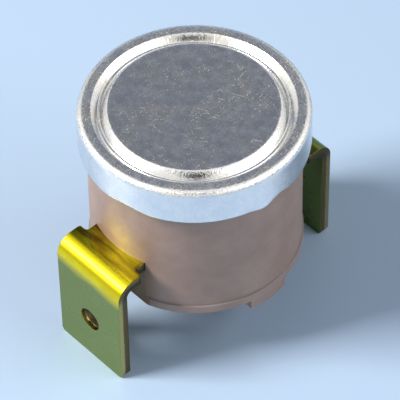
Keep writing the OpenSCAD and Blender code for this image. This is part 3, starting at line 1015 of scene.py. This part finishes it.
@dataclass
class SensingCap:
    """The drawn cap: a flat sensing face, a ring groove, a flat rim, a rounded edge and a rolled-in lip."""

    sheet: float = 0.35 * MM
    edge_r: float = 0.45 * MM
    lip_edge_r: float = 0.3 * MM
    lip_w: float = 0.54 * MM
    lip_in_edge_r: float = 0.05 * MM
    face_rise: float = 0.05 * MM
    groove_depth: float = 0.49 * MM
    groove_slope: float = 43.5
    groove_edge_r: float = 0.25 * MM
    crease_r: float = 0.11 * MM
    crease_inset: float = 1.53 * MM
    # The punch's own edge leaves a fine level step on the inner wall, just above the bottom
    step_out: float = 0.07 * MM
    step_in: float = 0.095 * MM
    step_r: float = 0.02 * MM
    # The step's height, over that of the straight wall at its place
    step_lift: float = 1.02
    # Both walls bulge, so that they are steeper at the bottom than at the top
    bulge: float = 0.065 * MM
    bulge_r: float = 2.2 * MM
    # Where the rolling tool pressed the lip up, and where it left a stretch that stands out and down
    presses: tuple[Press, ...] = (
        Press(-168, 16, 0.0, 0.26 * MM),
        Press(-98, 8, 0.09 * MM, -0.1 * MM),
        Press(-86.5, 9, 0.0, 0.26 * MM),
    )
    press_reach: float = 0.9 * MM
    # The longest side of the section, the steps about the axis and the least turn of a sharp edge
    longest: float = 0.3 * MM
    turns: int = 360
    sharp: float = 50.0
    # How far a place in the groove moves out in the UV map, over its depth
    groove_stretch: float = 0.35

    def profile(self) -> np.ndarray:
        """Works out the half section from the middle of the face, round the lip, to the axis inside.

        The groove is a V whose walls slope at `groove_slope`; the inner wall of the sheet runs beside
        the outer one at the sheet's thickness.

        Returns:
            Radius and height of each point.
        """
        low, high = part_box("cap")
        outer, z_low, z_face = high.x, low.z, high.z
        z_rim = z_face - self.face_rise
        slope = math.radians(self.groove_slope)
        crease = outer - self.crease_inset
        drop = self.groove_depth + self.crease_r * (1 / math.cos(slope) - 1)
        groove_in = crease - drop / math.tan(slope)
        groove_out = crease + (drop - self.face_rise) / math.tan(slope)
        steep = (drop / 2 + self.bulge) / (crease - groove_in) * 2
        z_step = z_face - drop + self.step_in * steep * self.step_lift
        shift = self.sheet * math.tan(slope / 2)
        z_in = z_rim - self.sheet
        inner = outer - self.sheet
        lip = outer - self.lip_w
        return rounded([
            (0, z_face, 0),
            (groove_in, z_face, self.groove_edge_r),
            ((groove_in + crease) / 2, z_face - drop / 2 + self.bulge, self.bulge_r),
            (crease - self.step_in, z_step, self.step_r),
            (crease - self.step_out, z_step, self.step_r),
            (crease, z_face - drop, self.crease_r),
            ((groove_out + crease) / 2, (z_face - drop + z_rim) / 2 + self.bulge, self.bulge_r),
            (groove_out, z_rim, self.groove_edge_r),
            (outer, z_rim, self.edge_r),
            (outer, z_low, self.lip_edge_r),
            (lip, z_low, self.lip_in_edge_r),
            (lip, z_low + self.sheet, 0),
            (inner, z_low + self.sheet, 0),
            (inner, z_in, self.edge_r - self.sheet),
            (groove_out + shift, z_in, 0),
            (crease, z_face - drop - self.sheet / math.cos(slope), self.crease_r + self.sheet),
            (groove_in - shift, z_face - self.sheet, 0),
            (0, z_face - self.sheet, 0),
        ])

    def surface(self) -> tuple[np.ndarray, np.ndarray]:
        """Turns the profile about the axis.

        A point at angle t is (r cos t, r sin t, z). The presses move the sheet's outer surface, all of
        it at the lip and none of it at `press_reach` above: the share is (1 - (h / reach)^2)^2 with h
        the height over the lip. The sheet's inner surface stays.

        Returns:
            Vertices and faces.
        """
        section = refined(self.profile(), self.longest)
        turn = np.linspace(0, 2 * math.pi, self.turns, endpoint=False)
        radius, height = (np.repeat(section[:, i:i + 1], self.turns, 1) for i in (0, 1))
        low = height.min()
        over = np.clip((height - low) / self.press_reach, 0, 1)
        # Both shares are a little under 1, to leave out the sheet's inner surface
        under = (radius > self.lip_in_r()) & (height < low + 0.99 * self.sheet)
        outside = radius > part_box("cap")[1].x - 0.9 * self.sheet
        share = (1 - over**2) ** 2 * (under | outside)
        for press in self.presses:
            out, up = press.shift(turn)
            radius = radius + out * share
            height = height + up * share
        vertices = np.stack([radius * np.cos(turn), radius * np.sin(turn), height], -1)
        return vertices.reshape(-1, 3), grid_faces(len(section), self.turns, closed=True)

    def lip_in_r(self) -> float:
        """Gives the radius inside the rolled lip, less a hair."""
        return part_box("cap")[1].x - self.lip_w - 0.01 * MM

    def build(self) -> bpy.types.Object:
        """Builds and dresses the cap.

        Returns:
            The cap, in place of its solid.
        """
        vertices, faces = self.surface()
        cap = mesh_object("sensing_cap", vertices, faces)
        smooth(cap, self.sharp)
        finish = DrawnAluminium(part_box("cap")[1].z - self.edge_r)
        write_uv(cap, finish.uv_map, self.unrolled(cap))
        cap.data.materials.append(finish.material())
        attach(cap, BODY)
        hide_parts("cap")
        return cap

    def unrolled(self, cap: bpy.types.Object) -> np.ndarray:
        """Works out the cap's UV map: radius out along the sheet, seen from above.

        Under the rim the radius keeps growing with the depth below the face, so that the side wall isn't
        smeared, and in the groove it grows a little.

        Args:
            cap: the cap's object.

        Returns:
            One UV position for each vertex.
        """
        place = vertex_array(cap)
        reach = np.hypot(place[:, 0], place[:, 1])
        deep = place[:, 2].max() - place[:, 2]
        at_edge = reach > place[:, 0].max() - self.edge_r
        grown = reach + np.where(at_edge, deep, self.groove_stretch * deep)
        scale = grown / np.maximum(reach, 1e-9)
        return place[:, :2] * scale[:, None]


class Side(Enum):
    """The side on which a terminal leaves the body."""

    LEFT = -1
    RIGHT = 1


@dataclass
class BladeTerminal:
    """A terminal pressed from brass strip: tongue, neck, shoulders, bend and blade."""

    side: Side
    strip: float = 0.8 * MM
    bend_r: float = 0.5 * MM
    neck_w: float = 4.9 * MM
    neck_fillet: float = 0.25 * MM
    shoulder_l: float = 0.85 * MM
    shoulder_r: float = 0.15 * MM
    tongue_x: float = 3.5 * MM
    tongue_r: float = 1.2 * MM
    rivet_x: float = 5.0 * MM
    rivet_hole_r: float = 0.67 * MM
    lock_hole_r: float = 0.9 * MM
    lock_hole_up: float = 3.8 * MM
    corner_r: float = 0.35 * MM
    edge_break: float = 0.05 * MM
    # Half the length of the stretch around the locking hole, and the longest side around the tongue
    lock_half_l: float = 2.2 * MM
    longest: float = 0.4 * MM
    # Steps across the strip, in its middle and on each side of that, and steps along the locking hole
    middle_steps: int = 24
    side_steps: int = 5
    lock_steps: int = 20
    weld: float = 0.002 * MM

    def __post_init__(self) -> None:
        """Reads the strip's outside places from the terminal's solid."""
        self.node = f"terminal_{self.side.name.lower()}"
        low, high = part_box(self.node)
        self.half_w = high.y
        self.z_top = high.z
        self.x_out = max(abs(low.x), abs(high.x))
        self.bend_x = self.x_out - self.strip - self.bend_r
        self.z_bend = self.z_top - self.strip - self.bend_r
        self.mid_r = self.bend_r + self.strip / 2
        self.s_shoulder = self.bend_x - self.shoulder_l - self.tongue_x
        self.s_bend = self.bend_x - self.tongue_x
        self.s_blade = self.s_bend + self.mid_r * math.pi / 2
        self.s_tip = self.s_blade + self.z_bend
        self.s_rivet = self.rivet_x - self.tongue_x
        self.s_lock = self.s_tip - self.lock_hole_up
        self.inner_w = self.neck_w / 2 + self.neck_fillet

    def fold(self) -> Fold:
        """Gives the bend's place and size for the finishes."""
        return Fold(self.bend_x, self.z_bend, self.bend_r + self.strip, self.strip)

    def across(self) -> np.ndarray:
        """Gives the places across the strip at which every wide patch has its vertices.

        Returns:
            The places, from one edge to the other.
        """
        side = np.linspace(self.inner_w, self.half_w, self.side_steps + 1)
        middle = np.linspace(-self.inner_w, self.inner_w, self.middle_steps + 1)
        return np.concatenate([-side[::-1], middle[1:-1], side])

    def folded(self, flat: np.ndarray) -> np.ndarray:
        """Bends the flat pattern's middle surface into shape.

        Up to the bend a point (s, y) lies at x = tongue + s. In the bend it turns about the bend's
        axis by (s - start) / radius, and after it the strip runs straight down.

        Args:
            flat: distance along the strip and place across it, one point a row.

        Returns:
            The points in space.
        """
        s, y = flat[:, 0], flat[:, 1]
        turn = np.clip((s - self.s_bend) / self.mid_r, 0, math.pi / 2)
        x = self.tongue_x + np.minimum(s, self.s_bend) + self.mid_r * np.sin(turn)
        z = self.z_bend + self.mid_r * np.cos(turn) - np.maximum(s - self.s_blade, 0)
        return np.stack([self.side.value * x, y, z], 1)

    def patch(self, near: np.ndarray, far: np.ndarray, rows: int) -> tuple[np.ndarray, np.ndarray]:
        """Fills the space between two rows of points, each joined straight to its partner.

        Args:
            near: the first row.
            far: the last row, with as many points.
            rows: rows of vertices, both ends included.

        Returns:
            Vertices of the flat pattern, and faces.
        """
        share = np.linspace(0, 1, rows)[:, None, None]
        grid = near[None] * (1 - share) + far[None] * share
        return grid.reshape(-1, 2), grid_faces(rows, len(near))

    def around_hole(self, s: float, radius: float, outline: np.ndarray) -> tuple[np.ndarray, np.ndarray]:
        """Fills the space between a round hole and a closed outline around it.

        Each point of the outline is joined to the hole's point in the same direction.

        Args:
            s: the hole's place along the strip.
            radius: the hole's radius.
            outline: the closed outline, whose last point repeats the first.

        Returns:
            Vertices of the flat pattern, and faces.
        """
        centre = np.array([s, 0.0])
        direction = outline - centre
        ring = centre + radius * direction / np.linalg.norm(direction, axis=1)[:, None]
        return self.patch(ring, outline, rows=9)

    def ending(self, start: float, end: float, radius: float, steps: int) -> tuple[np.ndarray, np.ndarray]:
        """Places rows on a straight stretch that ends in a quarter circle.

        On the quarter circle they lie at end - radius (1 - sin a), a going from 0 to 90 degrees. At a
        distance d past its start the outline has turned aside by radius - sqrt(radius^2 - d^2).

        Args:
            start: the first row's distance along the strip.
            end: the last row's distance.
            radius: the quarter circle's radius.
            steps: steps on the quarter circle.

        Returns:
            The distance of each row, and how far the outline has turned aside there.
        """
        rows = np.concatenate([
            np.linspace(start, end - radius, 5)[:-1],
            end - radius * (1 - np.sin(np.linspace(0, math.pi / 2, steps + 1))),
        ])
        into = np.clip(rows - end + radius, 0, radius)
        return rows, radius - np.sqrt(radius**2 - into**2)

    def taper(
        self, rows: np.ndarray, half_widths: np.ndarray, across: np.ndarray
    ) -> tuple[np.ndarray, np.ndarray]:
        """Fills a stretch of the strip whose width changes from row to row.

        Args:
            rows: the distance of each row along the strip.
            half_widths: half the strip's width at each row.
            across: places in a row, from -1 to 1.

        Returns:
            Vertices of the flat pattern, and faces.
        """
        grid = np.broadcast_arrays(rows[:, None], half_widths[:, None] * across)
        return np.stack(grid, -1).reshape(-1, 2), grid_faces(len(rows), len(across))

    def flat_pattern(self) -> tuple[np.ndarray, np.ndarray]:
        """Lays out the whole blank as patches that share their border points.

        From the tongue on: a ring around the rivet's hole, the neck with its fillets, the shoulders and
        the bend, a ring around the locking hole, and the tip with its rounded corners.

        Returns:
            Vertices of the flat pattern, and faces.
        """
        y_wide = self.across()
        y_neck = y_wide[self.side_steps:-self.side_steps]
        s_neck = 2 * self.s_rivet
        s_before, s_after = self.s_lock - self.lock_half_l, self.s_lock + self.lock_half_l

        # The neck's half width grows along a quarter circle into the shoulders
        s_rows, aside = self.ending(s_neck, self.s_shoulder, self.neck_fillet, steps=6)
        neck = self.taper(s_rows, self.neck_w / 2 + aside, y_neck / self.inner_w)
        patches = [neck]

        # The tongue: its two far corners are rounded, and its near side is the neck's first row
        tongue_half = self.neck_w / 2
        far_side = rounded([
            (s_neck, tongue_half, 0),
            (0, tongue_half, self.tongue_r),
            (0, -tongue_half, self.tongue_r),
            (s_neck, -tongue_half, 0),
        ])
        near_side = neck[0][:len(y_neck)]
        loop = np.concatenate([near_side, refined(far_side, self.longest)[1:]])
        patches.append(self.around_hole(self.s_rivet, self.rivet_hole_r, loop))

        # The shoulders start on a line whose two ends are rounded
        past_corner = np.clip(np.abs(y_wide) - self.half_w + self.shoulder_r, 0, self.shoulder_r)
        s_first = self.s_shoulder + self.shoulder_r - np.sqrt(self.shoulder_r**2 - past_corner**2)
        shoulder = np.stack([s_first, y_wide], 1)
        bend, blade, before, after = (
            np.stack([np.full_like(y_wide, s), y_wide], 1)
            for s in (self.s_bend, self.s_blade, s_before, s_after)
        )
        patches.append(self.patch(shoulder, bend, rows=6))
        patches.append(self.patch(bend, blade, rows=25))
        patches.append(self.patch(blade, before, rows=5))

        # The square around the locking hole shares its two cross rows with the strips beside it
        s_side = np.linspace(s_before, s_after, self.lock_steps + 1)
        up = np.stack([s_side, np.full_like(s_side, self.half_w)], 1)
        down = up[::-1] * (1, -1)
        loop = np.concatenate([before, up[1:], after[::-1][1:], down[1:]])
        patches.append(self.around_hole(self.s_lock, self.lock_hole_r, loop))

        # The tip narrows along a quarter circle at each corner
        s_rows, aside = self.ending(s_after, self.s_tip, self.corner_r, steps=8)
        patches.append(self.taper(s_rows, self.half_w - aside, y_wide / self.half_w))

        starts = np.cumsum([0] + [len(p[0]) for p in patches[:-1]])
        vertices = np.concatenate([p[0] for p in patches])
        faces = np.concatenate([p[1] + start for p, start in zip(patches, starts)])
        return vertices, faces

    def build(self, face: bpy.types.Material, edge: bpy.types.Material) -> bpy.types.Object:
        """Builds and dresses the terminal.

        Args:
            face: the strip's material.
            edge: the cut edges' material.

        Returns:
            The terminal, in place of its solid.
        """
        flat, faces = self.flat_pattern()
        blade = mesh_object(f"blade_{self.side.name.lower()}", self.folded(flat), faces, self.weld)
        blade.data.materials.append(face)
        blade.data.materials.append(edge)
        thicken(blade, self.strip, self.edge_break)
        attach(blade, BODY)
        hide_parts(self.node)
        return blade


def finish_nodes(material: bpy.types.Material, *names: str) -> None:
    """Gives the solids of these nodes one material.

    Args:
        material: the finish.
        names: the nodes' names.
    """
    for name in names:
        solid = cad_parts[name]
        if not solid.material_slots:
            solid.data.materials.append(material)
        for place in solid.material_slots:
            place.material = material
        log.info("finished %s with %s", name, material.name)


@dataclass
class MouldedBody:
    """The body moulding and the guide plate that closes its chamber.

    The body's pale line is a painted highlight on the ledge over the foot band; the guide plate's lies
    at the plate's foot.
    """

    ledge_z: float = 5.89 * MM

    def dress(self) -> None:
        """Gives both mouldings their finish."""
        guide_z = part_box("guide_plate")[0].z
        body = MouldedPhenolic("phenolic_moulded_taupe", "#A4897A", "#957A6D", self.ledge_z)
        guide = MouldedPhenolic("phenolic_moulded_brown", "#5A3A2C", "#4F3226", guide_z, "#6A4A3B")
        finish_nodes(body.material(), "base_body")
        finish_nodes(guide.material(), "guide_plate")


@dataclass
class SnapDisc:
    """The bimetal disc: a shallow dome whose edge stays put while its centre drops with the push pin."""

    sheet: float = 0.2 * MM
    edge_break: float = 0.02 * MM
    rings: int = 16
    turns: int = 96

    def build(self, finish: bpy.types.Material) -> bpy.types.Object:
        """Builds the disc's middle surface and gives it its thickness.

        It is part of a ball of radius (rim^2 + dish^2) / (2 dish), so at a distance r from the axis it
        stands sqrt(ball^2 - r^2) - ball + dish above its edge.

        Args:
            finish: the disc's material.

        Returns:
            The disc, in place of its solid.
        """
        low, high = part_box("bimetal_disc")
        dish = high.z - low.z - self.sheet
        edge_z = low.z + self.sheet / 2
        ball = (high.x**2 + dish**2) / (2 * dish)
        rim = high.x * (1 - self.sheet / 2 / ball)
        radius = np.linspace(0, rim, self.rings + 1)[:, None]
        turn = np.linspace(0, 2 * math.pi, self.turns, endpoint=False)
        height = edge_z + np.sqrt(ball**2 - radius**2) - ball + dish
        grid = np.broadcast_arrays(radius * np.cos(turn), radius * np.sin(turn), height)
        faces = grid_faces(self.rings + 1, self.turns, closed=True)
        disc = mesh_object("snap_disc", np.stack(grid, -1).reshape(-1, 3), faces)
        disc.data.materials.append(finish)
        thicken(disc, self.sheet, self.edge_break)
        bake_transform(disc)
        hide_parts("bimetal_disc")
        return disc


@dataclass
class SpringLeaf:
    """The contact arm's leaf, whose foot stays under the rivet while the rest of it flexes."""

    # The leaf flexes from the rivet's head inwards, on this stretch along X
    flex_from: float = -3.85 * MM
    flex_to: float = -2.9 * MM
    cuts: int = 9

    def build(self, finish: bpy.types.Material) -> bpy.types.Object:
        """Copies the arm's solid and gives it the rows of vertices that it flexes at.

        Args:
            finish: the leaf's material.

        Returns:
            The leaf, in place of its solid.
        """
        leaf = bpy.data.objects.new("contact_leaf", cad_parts["contact_arm"].data.copy())
        bpy.context.scene.collection.objects.link(leaf)
        leaf.data.materials.clear()
        leaf.data.materials.append(finish)
        shell = bmesh.new()
        shell.from_mesh(leaf.data)
        bmesh.ops.remove_doubles(shell, verts=shell.verts, dist=WELD)
        for x in np.linspace(self.flex_from, self.flex_to, self.cuts):
            bmesh.ops.bisect_plane(
                shell,
                geom=shell.verts[:] + shell.edges[:] + shell.faces[:],
                dist=0.1 * WELD,
                plane_co=(x, 0, 0),
                plane_no=(1, 0, 0),
            )
        shell.to_mesh(leaf.data)
        shell.free()
        smooth(leaf)
        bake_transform(leaf)
        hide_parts("contact_arm")
        return leaf


@dataclass
class SnapSwitch:
    """The mechanism between the cap and the terminals."""

    def build(self) -> list[bpy.types.Object]:
        """Builds the two pieces that bend, and gives the solids of the others their finishes.

        Returns:
            The snap disc and the contact leaf.
        """
        bimetal = TumbledMetal("bimetal_rolled", "#C2BDB3", "#A8A297", 0.35)
        spring = TumbledMetal("copper_beryllium_spring", "#DDA66C", "#C58D57", 0.3)
        silver = TumbledMetal("silver_contact_face", "#ECEAE4", "#D3D1CA", 0.3)
        brass = TumbledMetal("brass_turned_and_stamped", "#DACB5C", "#C2B04C", 0.28)
        disc = SnapDisc().build(bimetal.material())
        finish_nodes(FiredCeramic().material(), "push_pin")
        leaf = SpringLeaf().build(spring.material())
        finish_nodes(silver.material(), "moving_contact", "fixed_contact")
        finish_nodes(brass.material(), "fixed_contact_plate", "rivet_left", "rivet_right")
        return [disc, leaf]


def direction_from(front: float, azimuth: float, rise: float) -> Vector:
    """Gives the direction from the object towards a place in the studio.

    With a = front + azimuth it is (sin a cos rise, -cos a cos rise, sin rise).

    Args:
        front: the camera's own direction about Z, in degrees.
        azimuth: degrees from the camera's side towards its right.
        rise: degrees above the floor.

    Returns:
        A direction of length 1.
    """
    turn, high = math.radians(front + azimuth), math.radians(rise)
    return Vector((math.sin(turn) * math.cos(high), -math.cos(turn) * math.cos(high), math.sin(high)))


@dataclass(frozen=True)
class Card:
    """A round card on the tent, in degrees: its place as for a lamp, its size and its soft edge."""

    azimuth: float
    rise: float
    half_angle: float
    softness: float
    colour: str


@dataclass(frozen=True)
class Softbox:
    """A rectangular soft light that faces the object.

    Azimuth is counted in degrees from the camera's side towards its right, and rise from the floor. A
    radiance of 1 looks as bright as white.
    """

    name: str
    azimuth: float
    rise: float
    width: float
    height: float
    radiance: float
    colour: str = "#FFFFFF"
    far: float = 0.45

    def hang(self, front: float) -> None:
        """Hangs the lamp.

        Its power is pi times its area times its radiance.

        Args:
            front: the camera's own direction about Z, in degrees.
        """
        away = direction_from(front, self.azimuth, self.rise)
        data = bpy.data.lights.new(self.name, "AREA")
        data.shape = "RECTANGLE"
        data.size, data.size_y = self.width, self.height
        data.energy = math.pi * self.width * self.height * self.radiance
        data.color = linear(self.colour)[:3]
        lamp = bpy.data.objects.new(self.name, data)
        bpy.context.scene.collection.objects.link(lamp)
        lamp.location = away * self.far
        lamp.rotation_euler = away.to_track_quat("Z", "Y").to_euler()


@dataclass
class Studio:
    """Floor, lights and camera."""

    # The camera stands over the left front corner and looks down on the cap
    turn: float = -42.273
    rise: float = 48.31
    roll: float = -0.913
    distance: float = 0.19672
    image_px: float = 400.0
    focal_px: float = 2920.06
    aim_px: tuple[float, float] = (-5.865, 94.247)
    sensor: float = 36.0
    clip: tuple[float, float] = (0.01, 10.0)
    floor_half: float = 1.5
    floor_colour: str = "#B4CDE9"
    floor_roughness: float = 0.45
    room_colour: str = "#6A6C72"
    tent_low: str = "#A89E90"
    tent_high: str = "#FAFAF8"
    # Between these heights of a direction of length 1, the tent's low colour turns into its high one
    tent_turn: tuple[float, float] = (0.05, 0.2)
    cards: tuple[Card, ...] = (
        Card(180, -8, 36, 9, "#8FA6C2"),
        Card(180, 49, 16, 5, "#757A86"),
        Card(0, 48, 13, 2.5, "#1F1D1B"),
    )
    lamps: tuple[Softbox, ...] = (
        Softbox("softbox_right", 74, 40, 0.40, 0.24, 2.8),
        Softbox("key_left", -82, 43, 0.15, 0.15, 38.0, "#FFF9F2"),
    )

    def camera_axes(self) -> tuple[Vector, Vector, Vector]:
        """Gives the camera's right, up and back directions.

        Back points from the object to the camera, at `turn` about Z and `rise` above the floor. Right
        and up are turned by `roll` about it.

        Returns:
            Right, up and back.
        """
        turn, roll = math.radians(self.turn), math.radians(self.roll)
        back = direction_from(self.turn, 0, self.rise)
        right = Vector((math.cos(turn), math.sin(turn), 0))
        up = back.cross(right)
        rolled_right = right * math.cos(roll) + up * math.sin(roll)
        rolled_up = -right * math.sin(roll) + up * math.cos(roll)
        return rolled_right, rolled_up, back

    def place_camera(self) -> None:
        """Places the camera so that the cap's centre lands where the photograph has it."""
        right, up, back = self.camera_axes()
        top = Vector((0, 0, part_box("cap")[1].z))
        aside = [self.distance * v / self.focal_px for v in self.aim_px]
        place = top + back * self.distance - right * aside[0] - up * aside[1]
        data = bpy.data.cameras.new("camera")
        data.sensor_width = self.sensor
        data.lens = self.sensor * self.focal_px / self.image_px
        data.clip_start, data.clip_end = self.clip
        camera = bpy.data.objects.new("camera", data)
        bpy.context.scene.collection.objects.link(camera)
        turned = Matrix((right, up, back)).transposed().to_4x4()
        camera.matrix_world = Matrix.Translation(place) @ turned
        bpy.context.scene.camera = camera

    def lay_floor(self) -> None:
        """Lays a plain pale floor under the blade tips."""
        half = self.floor_half
        corners = np.array([(-half, -half, 0), (half, -half, 0), (half, half, 0), (-half, half, 0)], float)
        floor = mesh_object("floor", corners, np.array([[0, 1, 2, 3]]))
        material, tree = blank_material("floor_pale_board")
        add_surface(tree, {"Base Color": linear(self.floor_colour), "Roughness": self.floor_roughness})
        floor.data.materials.append(material)

    def add_card_share(self, tree: bpy.types.NodeTree, direction: Feed, card: Card) -> bpy.types.Node:
        """Finds how far a direction lies inside a round card on the tent.

        The share is read from the cosine of the angle between the direction and the card's centre.

        Args:
            tree: the world's node tree.
            direction: the direction that is looked in.
            card: the card.

        Returns:
            The node that gives 1 inside the card, 0 outside it, and in between at its soft edge.
        """
        towards = direction_from(self.turn, card.azimuth, card.rise)
        near = add_node(tree, "VectorMath", {"operation": "DOT_PRODUCT", 1: towards}, {0: direction})
        outer, inner = (
            math.cos(math.radians(card.half_angle + side * card.softness)) for side in (1, -1)
        )
        return add_node(tree, "MapRange", {"From Min": outer, "From Max": inner}, {"Value": near})

    def light(self) -> None:
        """Hangs the lamps, inside a pale tent that only glossy surfaces, glass and the camera see.

        Matt surfaces get the dim room's light instead, so the tent adds none. Cards on the tent give the
        flat metal faces something darker to reflect.
        """
        for lamp in self.lamps:
            lamp.hang(self.turn)
        room = bpy.data.worlds.new("room")
        room.use_nodes = True
        tree = room.node_tree
        tree.nodes.clear()
        direction = add_node(tree, "TexCoord").outputs["Generated"]
        height = add_node(tree, "SeparateXYZ", links={"Vector": direction}).outputs["Z"]
        low, high = self.tent_turn
        risen = add_node(tree, "MapRange", {"From Min": low, "From Max": high}, {"Value": height})
        ends = {6: linear(self.tent_low), 7: linear(self.tent_high)}
        tent = add_node(tree, "Mix", COLOURS | ends, {0: risen})
        for card in self.cards:
            inside = self.add_card_share(tree, direction, card)
            tent = add_node(tree, "Mix", COLOURS | {7: linear(card.colour)}, {0: inside, 6: tent})
        path = add_node(tree, "LightPath").outputs
        seen = path["Is Camera Ray"]
        for kind in ("Glossy", "Transmission"):
            ray = path[f"Is {kind} Ray"]
            seen = add_node(tree, "Math", {"operation": "MAXIMUM"}, {0: seen, 1: ray})
        shade = add_node(tree, "Mix", COLOURS | {6: linear(self.room_colour)}, {0: seen, 7: tent})
        background = add_node(tree, "Background", links={"Color": shade})
        add_node(tree, "OutputWorld", links={"Surface": background})
        bpy.context.scene.world = room

    def build(self) -> None:
        """Sets the whole studio and the plain view transform."""
        self.place_camera()
        self.lay_floor()
        self.light()
        bpy.context.scene.view_settings.view_transform = "Standard"


def main() -> None:
    """Builds and dresses the thermostat, piece by piece."""
    logging.basicConfig(level=logging.INFO, format="%(name)s: %(message)s")
    Studio().build()
    pieces = [SensingCap().build()]
    terminals = [BladeTerminal(side) for side in Side]
    strip = RolledBrass(terminals[0].fold()).material()
    sheared = ShearedBrass(terminals[0].fold()).material()
    pieces += [terminal.build(strip, sheared) for terminal in terminals]
    MouldedBody().dress()
    pieces += SnapSwitch().build()
    for piece in pieces:
        log.info("built %s with %d vertices", piece.name, len(piece.data.vertices))


if __name__ == "__main__":
    main()
